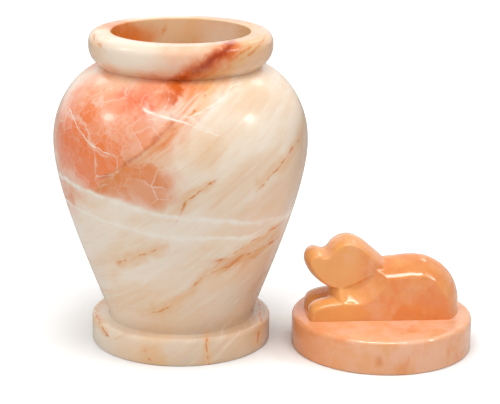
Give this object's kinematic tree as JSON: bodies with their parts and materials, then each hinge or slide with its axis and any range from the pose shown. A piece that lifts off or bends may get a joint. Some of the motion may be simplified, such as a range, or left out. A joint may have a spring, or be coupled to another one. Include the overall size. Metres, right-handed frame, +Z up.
{
  "type": "cremation urn",
  "caption": "Turned and polished banded onyx pet urn: a shouldered hollow vessel on a round foot, with its disc lid carrying a carved recumbent dog set down beside it.",
  "frame": {"origin": "centre of the vessel's underside, on the surface it stands on", "axes": "+Z up along the vessel's axis, +X from the vessel towards the lid set down beside it, +Y to the back"},
  "size_m": [0.275, 0.166, 0.208],
  "materials": {
    "vessel": "polished banded onyx, cream with salmon and white veins",
    "lid": "polished peach onyx",
    "dog": "polished amber onyx"
  },
  "bodies": {
    "root": {"vessel": "vessel", "lid": "lid", "dog": "dog"}
  },
  "joints": []
}
